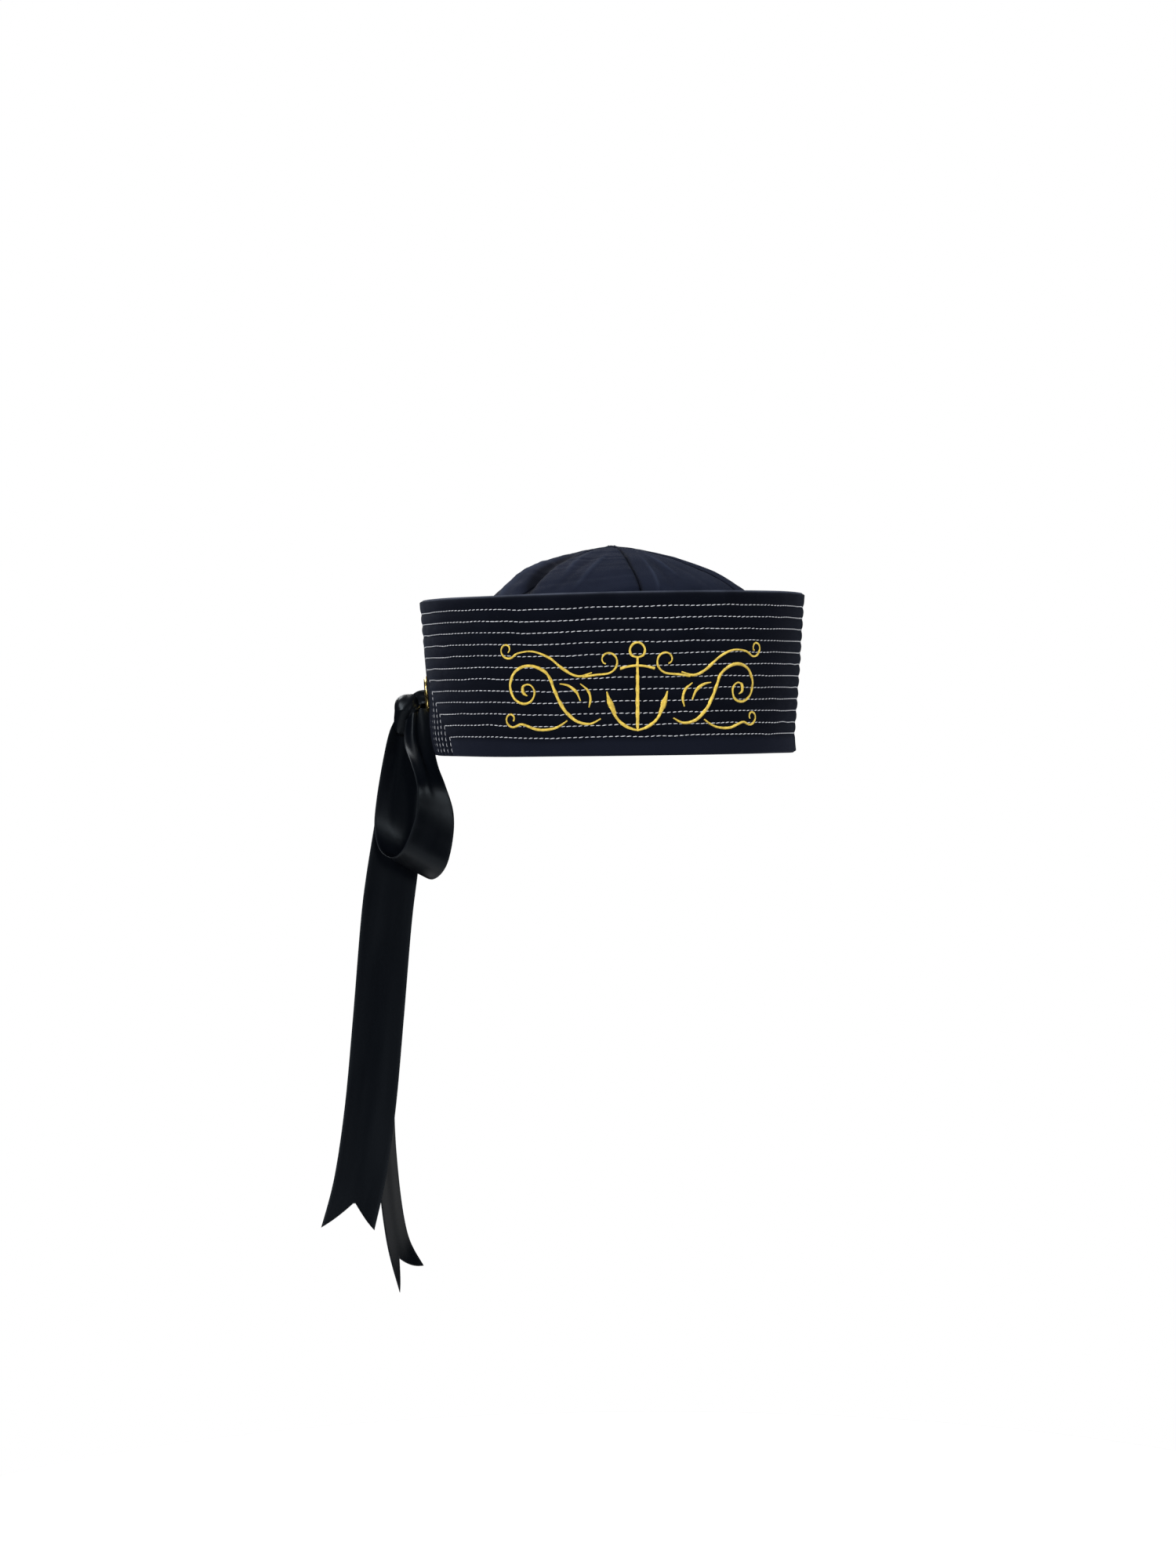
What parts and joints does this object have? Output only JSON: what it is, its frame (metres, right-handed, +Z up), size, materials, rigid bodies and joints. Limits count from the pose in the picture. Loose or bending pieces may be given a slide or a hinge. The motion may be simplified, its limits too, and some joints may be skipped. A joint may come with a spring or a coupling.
{
  "type": "sailor cap with a ribbon bow",
  "caption": "Round sailor cap with a gored dome crown, a turned-up stitched brim laced at one side through brass eyelets, and a hanging satin ribbon bow.",
  "frame": {"origin": "the middle of the head opening, level with the brim's lower edge", "axes": "+Z up through the top of the crown, -Y the front of the cap, -X the side that the bow hangs on"},
  "size_m": [0.2467, 0.2058, 0.382],
  "materials": {
    "brim_twill": "dark navy cotton twill, quilted with rows of topstitching",
    "crown_twill": "navy cotton twill, soft and slightly creased",
    "black_satin": "black satin ribbon with a soft sheen",
    "brass": "polished brass eyelet",
    "pale_thread": "pale grey topstitching thread",
    "gold_thread": "glossy gold embroidery thread"
  },
  "bodies": {
    "root": {"brim": "brim_twill", "crown_gore_1": "crown_twill", "crown_gore_2": "crown_twill", "crown_gore_3": "crown_twill", "crown_gore_4": "crown_twill", "crown_gore_5": "crown_twill", "crown_gore_6": "crown_twill", "eyelet_front": "brass", "eyelet_rear": "brass", "ribbon_knot": "black_satin", "ribbon_lacing": "black_satin", "ribbon_loop_near": "black_satin", "ribbon_loop_far": "black_satin", "ribbon_tail_front": "black_satin", "ribbon_tail_back": "black_satin"}
  },
  "joints": []
}
